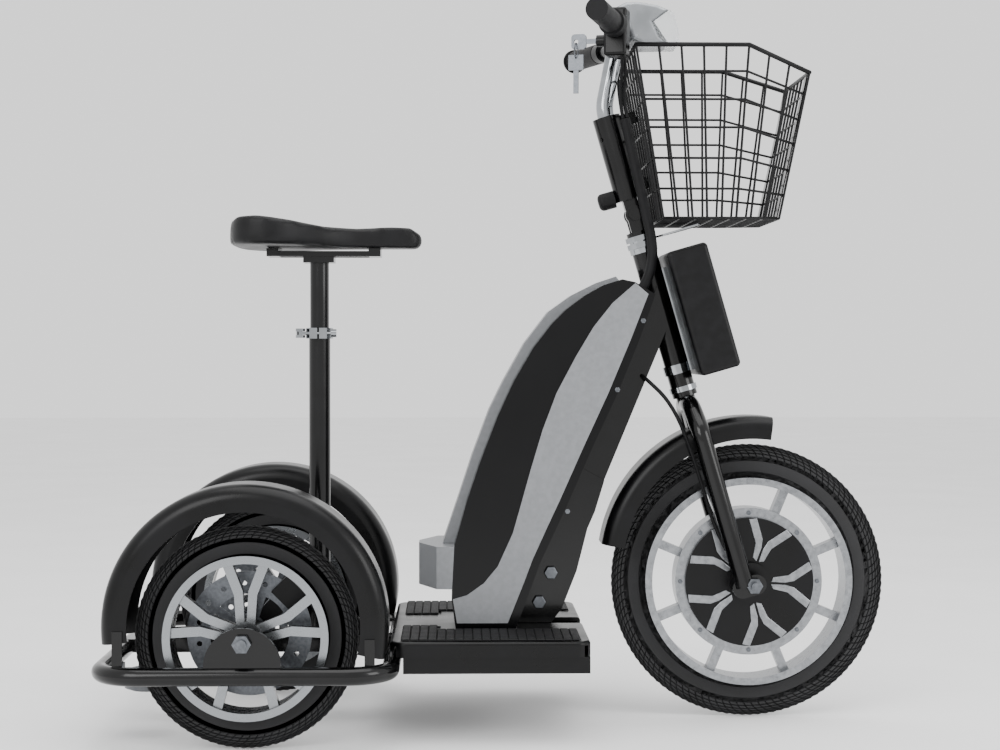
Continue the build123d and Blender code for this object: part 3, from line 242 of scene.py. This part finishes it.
# %% Turn a bmesh into a piece
def piece(name, bm, look, body, smooth=True):
    """A finished bmesh as an object that rides on a body."""
    bmesh.ops.recalc_face_normals(bm, faces=bm.faces)
    mesh = bpy.data.meshes.new(name)
    bm.to_mesh(mesh)
    bm.free()
    mesh.materials.append(look)
    if smooth:
        mesh.shade_smooth()
    made = bpy.data.objects.new(name, mesh)
    bpy.context.collection.objects.link(made)
    if body:
        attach(made, body)
    print(name, "faces", len(mesh.polygons))
    return made


def rods(name, runs, radius, look, body, order=2):
    """Many thin rods in one piece: each run is a list of points, closed if it ends where it starts."""
    curve = bpy.data.curves.new(name, "CURVE")
    curve.dimensions, curve.bevel_depth, curve.bevel_resolution, curve.resolution_u = "3D", radius, 3, 10
    curve.use_fill_caps = True
    for run in runs:
        closed = run[0] == run[-1]
        line = curve.splines.new("NURBS" if order > 2 else "POLY")
        points = run[:-1] if closed else run
        line.points.add(len(points) - 1)
        for knot, place in zip(line.points, points):
            knot.co = (*place, 1)
        line.use_cyclic_u = closed
        if order > 2:
            line.order_u, line.use_endpoint_u = order, True
    holder = bpy.data.objects.new(name + "_line", curve)
    bpy.context.collection.objects.link(holder)
    bpy.context.view_layer.update()
    mesh = bpy.data.meshes.new_from_object(holder.evaluated_get(bpy.context.evaluated_depsgraph_get()))
    bpy.data.objects.remove(holder)
    bm = bmesh.new()
    bm.from_mesh(mesh)
    return piece(name, bm, look, body)


# %% [markdown]
# ## The wire basket
# The basket is welded from thin wires between a thicker rim and a floor, and two flat straps carry
# it. Its walls lean out towards the rim, so each wire runs between a point on the floor's outline
# and one on the rim's.

# %% The basket's outline at any height
FLOOR_Z, RIM_Z = 0.7498, 0.9975


def basket_corner(k, z):
    """Corner k of the basket's plan at a height, counted from the right back corner round to the left."""
    t = (z - 0.748) / 0.252
    back, front = 0.2315 - 0.044 * t, 0.4025 + 0.050 * t
    half, half_front = 0.1085 + 0.030 * t, 0.0935 + 0.015 * t
    shoulder = back + 0.62 * (front - back)
    plan = [(back, -half), (shoulder, -half), (front, -half_front), (front, half_front), (shoulder, half), (back, half)]
    return Vector((*plan[k % 6], z))


def rim_height(k):
    """The rim is level at the back and lower at the front."""
    return 0.962 if k % 6 in (2, 3) else RIM_Z


print("rim corners", [tuple(round(v, 3) for v in basket_corner(k, rim_height(k))) for k in range(6)])

# %% Weave the wires
upright_runs, floor_runs = [], []
for k, count in ((0, 4), (1, 2), (2, 6), (3, 2), (4, 4), (5, 7)):
    for i in range(1, count + 1):
        part = i / (count + 1)
        low = basket_corner(k, FLOOR_Z).lerp(basket_corner(k + 1, FLOOR_Z), part)
        high = basket_corner(k, rim_height(k)).lerp(basket_corner(k + 1, rim_height(k + 1)), part)
        upright_runs.append([low, high])
for k in (0, 1, 2, 3, 4, 5):
    upright_runs.append([basket_corner(k, FLOOR_Z), basket_corner(k, rim_height(k))])
ring_runs = []
for back_z, drop in ((0.960, 0.030), (0.920, 0.027), (0.880, 0.022), (0.836, 0.016), (0.792, 0.008), (FLOOR_Z, 0.0)):
    loop = [basket_corner(k, back_z - (drop if k in (2, 3) else 0)) for k in range(6)]
    ring_runs.append(loop + [loop[0]])
for i in range(1, 7):
    x = 0.2315 + i * 0.171 / 7
    floor_runs.append([Vector((x, -0.1, FLOOR_Z)), Vector((x, 0.1, FLOOR_Z))])
for i in range(-3, 4):
    floor_runs.append([Vector((0.2315, i * 0.026, FLOOR_Z)), Vector((0.4025, i * 0.026, FLOOR_Z))])
wires = rods("basket_wires", upright_runs + ring_runs + floor_runs, 0.0018, powder, "stem")
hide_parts("basket")

# %% The thicker rim
rim_loop = [basket_corner(k, rim_height(k)) for k in range(6)]
basket_rim = rods("basket_rim", [rim_loop + [rim_loop[0]]], 0.0034, powder, "stem")

# %% [markdown]
# The straps are flat bars, bent to follow the back, floor and front. An edge as wide as the strap is
# extruded from point to point, then solidify gives it a thickness.

# %% Straps under the basket
def strap(name, points, width, thick, look, body):
    """A flat bar along points in the XZ plane, spread across Y."""
    bm = bmesh.new()
    ends = [bm.verts.new((points[0].x, points[0].y + s * width / 2, points[0].z)) for s in (-1, 1)]
    edge = bm.edges.new(ends)
    for a, b in zip(points, points[1:]):
        grown = bmesh.ops.extrude_edge_only(bm, edges=[edge])["geom"]
        moved = [g for g in grown if isinstance(g, bmesh.types.BMVert)]
        bmesh.ops.translate(bm, verts=moved, vec=b - a)
        edge = next(g for g in grown if isinstance(g, bmesh.types.BMEdge))
    bmesh.ops.solidify(bm, geom=bm.faces[:], thickness=thick)
    return piece(name, bm, look, body, smooth=False)


for label, y in (("right", -0.088), ("left", 0.088)):
    path = [
        Vector((0.1915, y, 0.990)), Vector((0.2335, y, 0.7525)), Vector((0.3985, y, 0.7525)), Vector((0.442, y, 0.958)),
    ]
    strap(f"basket_strap_{label}", path, 0.018, 0.002, paint, "stem")

# %% [markdown]
# ## Tyres
# A tyre is a circle spun round the axle. The faces of its outer band are inset one by one and pushed
# out, which cuts the grooves between the tread blocks in a single step.

# %% Spin a tyre and cut its tread
def tyre(name, node, body, centre, outer, width, steps, tread_depth):
    """A treaded tyre of that outer radius, in place of the measured one."""
    bm = bmesh.new()
    section = bmesh.ops.create_circle(bm, segments=28, radius=width / 2 - tread_depth)
    turn = Matrix.Translation(centre + Vector((outer - width / 2, 0, 0))) @ Matrix.Rotation(radians(90), 4, "X")
    bmesh.ops.transform(bm, verts=section["verts"], matrix=turn)
    bmesh.ops.spin(
        bm, geom=bm.edges[:] + bm.verts[:], cent=centre, axis=(0, 1, 0), angle=2 * pi, steps=steps, use_merge=True,
    )
    bmesh.ops.remove_doubles(bm, verts=bm.verts, dist=0.00005)
    bmesh.ops.recalc_face_normals(bm, faces=bm.faces)
    blocks, walls = [], []
    for face in bm.faces:
        spot = face.calc_center_median() - centre
        reach = (spot.x ** 2 + spot.z ** 2) ** 0.5
        if reach > outer - width * 0.36:
            blocks.append(face)
        elif outer - width * 0.72 < reach < outer - width * 0.42:
            walls.append(face)
    bmesh.ops.inset_individual(bm, faces=blocks, thickness=0.0015, depth=tread_depth)
    bmesh.ops.inset_region(bm, faces=walls, thickness=0.0008, depth=0.0008)
    made = piece(name, bm, tyre_rubber, body, smooth=False)
    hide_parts(node)
    return made


tyre("front_tread_tyre", "front_tyre", "front_wheel", front_axle, 0.208, 0.058, 108, 0.0024)
for side, y in (("right", -0.222), ("left", 0.222)):
    centre = Vector((-0.363, y, 0.1575))
    tyre(f"rear_tread_tyre_{side}", f"rear_tyre_{side}", f"rear_wheel_{side}", centre, 0.1575, 0.056, 84, 0.0022)

# %% [markdown]
# ## Blades on the hub motor
# Each side of the motor carries five bright V-shaped pairs of blades. A flat outline is made into a
# face, extruded to a plate and bevelled, then copied round the axle.

# %% Plates standing out from a wheel
def plates(name, outlines, y_from, y_to, look, body, bevel=0.0008):
    """Flat plates with outlines in X and Z, standing between two values of Y."""
    bm = bmesh.new()
    for outline in outlines:
        face = bm.faces.new([bm.verts.new((x, y_from, z)) for x, z in outline])
        grown = bmesh.ops.extrude_face_region(bm, geom=[face])["geom"]
        moved = [g for g in grown if isinstance(g, bmesh.types.BMVert)]
        bmesh.ops.translate(bm, verts=moved, vec=(0, y_to - y_from, 0))
    bmesh.ops.bevel(
        bm, geom=bm.edges[:], offset=bevel, offset_type="OFFSET", segments=2, profile=0.5, affect="EDGES", material=-1,
    )
    return piece(name, bm, look, body, smooth=False)


def turned(outline, degrees, centre):
    """An outline turned about an axle."""
    a = radians(degrees)
    return [(centre.x + x * cos(a) - z * sin(a), centre.z + x * sin(a) + z * cos(a)) for x, z in outline]


blade = [(0.032, 0.0015), (0.036, 0.009), (0.058, 0.013), (0.088, 0.035), (0.0935, 0.024), (0.067, 0.0045), (0.054, 0.0015)]
flipped = [(x, -z) for x, z in reversed(blade)]
for side, sign in (("right", -1), ("left", 1)):
    outlines = []
    for k in range(5):
        outlines.append(turned(blade, 69 - 72 * k, front_axle))
        outlines.append(turned(flipped, 69 - 72 * k, front_axle))
    plates(f"motor_blades_{side}", outlines, sign * 0.0300, sign * 0.0325, machined, "front_wheel")

# %% Bolts round the motor, on the foot plates and on the cover
def bolts(name, places, radius, y_from, y_to, look, body):
    """Hexagon heads standing between two values of Y."""
    six = [(radius * cos(radians(60 * k)), radius * sin(radians(60 * k))) for k in range(6)]
    outlines = [[(x + a, z + b) for a, b in six] for x, z in places]
    return plates(name, outlines, y_from, y_to, look, body, bevel=radius * 0.12)


ring = [(front_axle.x + 0.1035 * cos(radians(45 * k)), front_axle.z + 0.1035 * sin(radians(45 * k))) for k in range(8)]
for side, sign in (("right", -1), ("left", 1)):
    bolts(f"motor_bolts_{side}", ring, 0.0035, sign * 0.0225, sign * 0.0255, steel, "front_wheel")
    feet = [(0.0706, 0.223), (0.053, 0.179)]
    bolts(f"foot_bolts_{side}", feet, 0.0105, sign * 0.0302, sign * 0.0382, steel, "frame")
    flange = [(0.166, 0.4985), (0.0926, 0.3197), (0.204, 0.6)]
    bolts(f"cover_screws_{side}", flange, 0.004, sign * 0.0868, sign * 0.0895, steel, "frame")

# %% [markdown]
# ## Deck mats
# The mats are rubber with rows of raised pads. A grid is laid over each side of the deck, the part
# under the battery cover is removed, and every face left is inset and raised.

# %% Raised rubber pads
bm = bmesh.new()
bmesh.ops.create_grid(bm, x_segments=20, y_segments=32, size=0.5)
bmesh.ops.scale(bm, vec=(0.255, 0.409, 1), verts=bm.verts)
bmesh.ops.translate(bm, vec=(-0.022, 0, 0.1480), verts=bm.verts)
under = [
    f for f in bm.faces
    if abs(f.calc_center_median().y) < 0.0605 or (f.calc_center_median().x > -0.095 and abs(f.calc_center_median().y) < 0.104)
]
bmesh.ops.delete(bm, geom=under, context="FACES")
bmesh.ops.inset_individual(bm, faces=bm.faces[:], thickness=0.0018, depth=0.0019)
mats = piece("ribbed_deck_mats", bm, soft_rubber, "frame", smooth=False)
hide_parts("deck_mats")

# %% [markdown]
# ## The saddle
# The saddle is foam under stretched vinyl. The measured block is remeshed into even small faces, and
# repeated smoothing pulls its edges into a crown, as the cover does on the foam.

# %% Crown the saddle
bm = bmesh.new()
bm.from_mesh(nodes["saddle"].data)
bmesh.ops.transform(bm, verts=bm.verts, matrix=nodes["saddle"].matrix_world)
saddle = piece("soft_saddle", bm, vinyl, None)
voxels = saddle.modifiers.new("even_faces", "REMESH")
voxels.mode, voxels.voxel_size, voxels.use_smooth_shade = "VOXEL", 0.005, True
relax = saddle.modifiers.new("stretched_cover", "SMOOTH")
relax.factor, relax.iterations = 0.5, 7
bpy.context.view_layer.update()
crowned = bpy.data.meshes.new_from_object(saddle.evaluated_get(bpy.context.evaluated_depsgraph_get()))
saddle.modifiers.clear()
saddle.data = crowned
saddle.data.materials.clear()
saddle.data.materials.append(vinyl)
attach(saddle, "seat")
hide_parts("saddle")
print("saddle faces", len(crowned.polygons))

# %% [markdown]
# ## The cables
# Four cables leave the bar and join a wrapped loom. The loom passes the fold hinge and then the
# steering. Each length is one fixed piece that rides on no body.

# %% The cables and the loom
bar_runs = []
for bar_y, f, y in ((-74, -3, -3), (-58, 3, -3), (60, -3, 3), (75, 3, 3)):
    swing = 30 if bar_y > 0 else -50
    bar_runs.append([
        Vector((0.173, bar_y / 1000, 1.0120)), on_steer(42 + f, swing + y, 490),
        on_steer(28 + f, -22 + y, 452), on_steer(24 + f, -28 + y, 418.6),
    ])
fan = rods("bar_cable_fan", bar_runs, 0.0025, soft_rubber, None, order=3)
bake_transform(fan)
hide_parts("bar_cables")

loom_top, loom_knee = on_steer(24, -28, 418), on_steer(18, -28, 320.9)
loom_turn = on_steer(12, -32, 222)
loom_split = loom_turn.lerp(loom_knee, 0.26)
upper = rods("wrapped_loom", [[loom_top, loom_knee, loom_split]], 0.0078, soft_rubber, None, order=3)
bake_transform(upper)
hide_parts("stem_loom")

entry, out = Vector((0.2072, -0.037, 0.6483)), Vector((0.514, 0, 0.857))
lower = rods("lower_loom", [[loom_split, loom_turn, entry + out * 0.024, entry]], 0.0078, soft_rubber, None, order=3)
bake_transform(lower)
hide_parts("frame_loom")

lead = Vector((0.208, -0.0242, 0.518))
lead_run = [
    lead, lead + Vector((0, -0.024, 0)), Vector((0.252, -0.050, 0.476)), on_steer(-18, -54, -100),
    on_steer(-18, -54, -230), Vector((0.358, -0.050, 0.218)),
]
motor_cable = rods("motor_cable", [lead_run], 0.003, soft_rubber, None, order=3)
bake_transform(motor_cable)
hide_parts("motor_lead")

# %% [markdown]
# ## The room
# A pale floor that runs up into white, one large soft light overhead, and two from the sides that
# draw long highlights down the black panels.

# %% Floor, lights and camera
bm = bmesh.new()
bmesh.ops.create_grid(bm, x_segments=1, y_segments=1, size=12)
floor = bpy.data.meshes.new("studio_floor")
bm.to_mesh(floor)
bm.free()
floor.materials.append(finish("pale_floor", "#f4f4f4", "#f8f8f8", 0.9, size=3, bump=0.02))
floor_piece = bpy.data.objects.new("studio_floor", floor)
bpy.context.collection.objects.link(floor_piece)

world = bpy.data.worlds.new("white_room")
world.use_nodes = True
world.node_tree.nodes["Background"].inputs["Color"].default_value = (1, 1, 1, 1)
world.node_tree.nodes["Background"].inputs["Strength"].default_value = 1.35
bpy.context.scene.world = world

for name, place, size, power in (
    ("overhead", (0.2, -0.4, 3.0), 2.6, 55), ("near_side", (-1.6, -2.8, 1.9), 1.6, 45), ("front_side", (2.6, -1.6, 1.4), 1.4, 35),
):
    lamp = bpy.data.lights.new(name, "AREA")
    lamp.size, lamp.energy = size, power
    holder = bpy.data.objects.new(name, lamp)
    holder.location = place
    holder.rotation_euler = (Vector((0, 0, 0.5)) - Vector(place)).to_track_quat("-Z", "Y").to_euler()
    bpy.context.collection.objects.link(holder)

camera = bpy.data.cameras.new("side_view")
camera.lens, camera.sensor_width = 69.0, 36.0
camera_piece = bpy.data.objects.new("side_view", camera)
camera_piece.location = (-0.073, -2.9, 0.5645)
camera_piece.rotation_euler = (radians(90 - 0.9), 0, radians(-1.35))
bpy.context.collection.objects.link(camera_piece)
bpy.context.scene.camera = camera_piece
